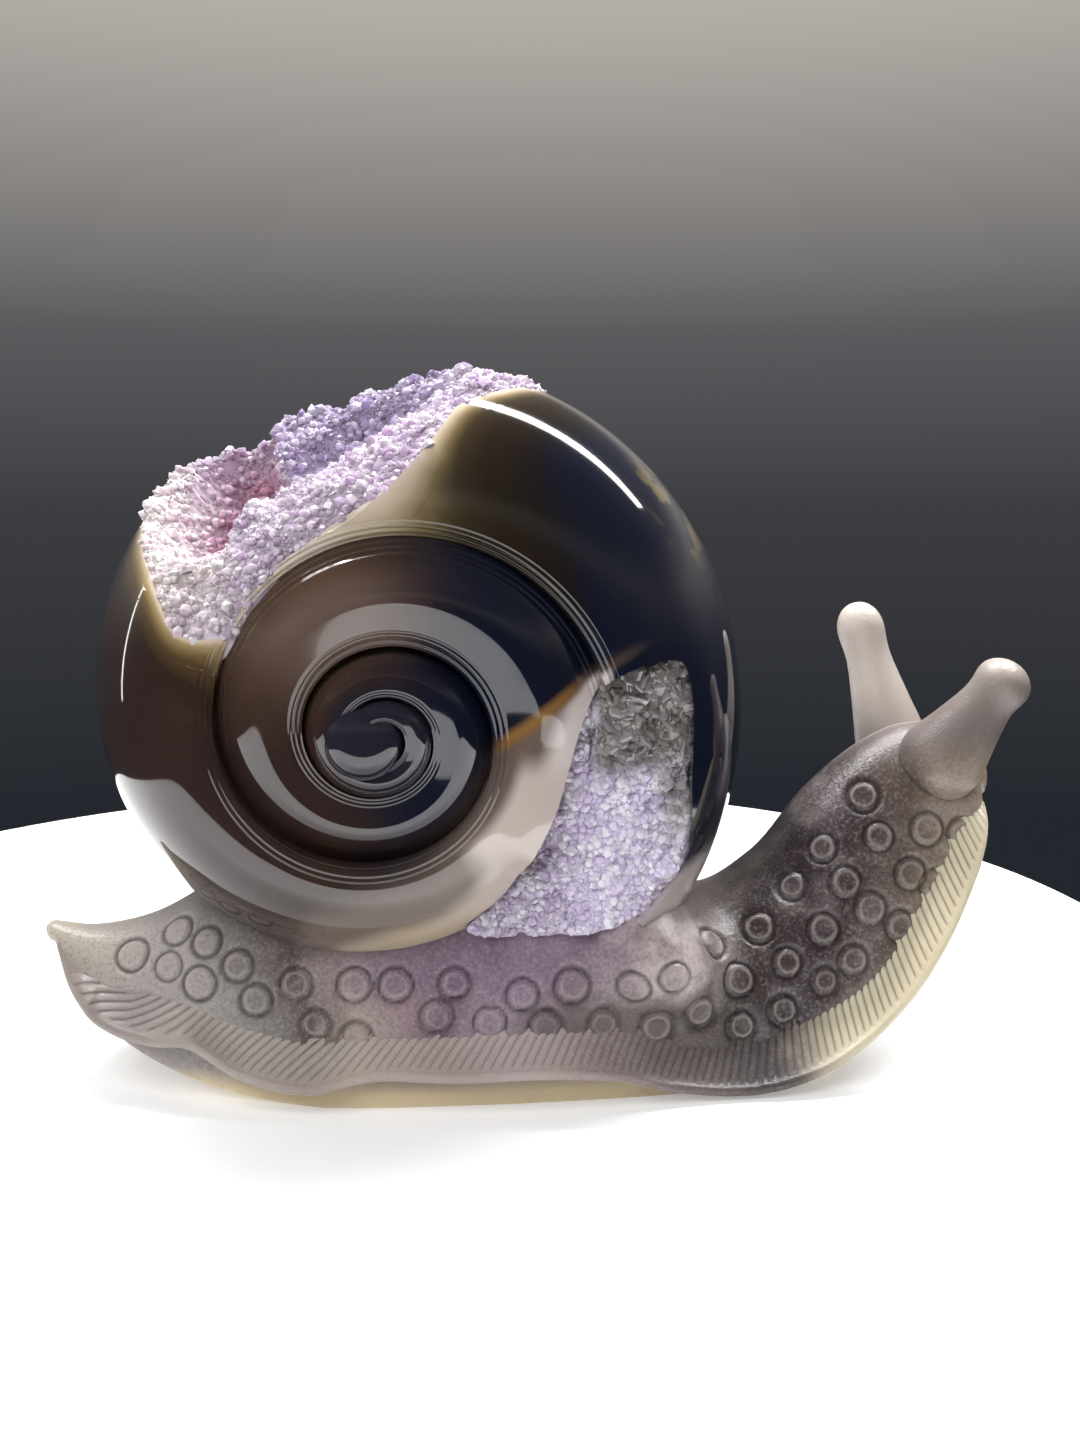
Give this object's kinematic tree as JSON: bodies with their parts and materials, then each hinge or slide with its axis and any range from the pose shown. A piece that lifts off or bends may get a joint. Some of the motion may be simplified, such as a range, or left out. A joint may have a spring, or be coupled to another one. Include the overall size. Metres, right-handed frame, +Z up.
{
  "type": "carved stone snail",
  "caption": "Agate snail ornament with a coiled polished shell, amethyst crystal hollows, a frosted spotted body with a grooved frill, and a flat sole to rest on.",
  "frame": {"origin": "middle of the footprint, on the plane the sole rests on", "axes": "+X towards the head, +Y away from the shell mouth, +Z up"},
  "size_m": [0.1546, 0.0654, 0.1116],
  "materials": {
    "polished_agate": "polished dark agate with amber bands",
    "cream_agate": "polished cream and amber agate",
    "amethyst": "natural amethyst crystal points",
    "frosted_agate": "frosted grey-brown agate"
  },
  "bodies": {
    "root": {"body_whorl": "polished_agate", "second_whorl": "polished_agate", "inner_whorl": "polished_agate", "apex_knob": "polished_agate", "crown_rind": "cream_agate", "crown_druse": "amethyst", "mouth_lip": "cream_agate", "mouth_druse": "amethyst", "tail": "frosted_agate", "foot": "frosted_agate", "head": "frosted_agate", "near_skirt": "frosted_agate", "far_skirt": "frosted_agate", "near_tentacle": "frosted_agate", "far_tentacle": "frosted_agate"}
  },
  "joints": []
}
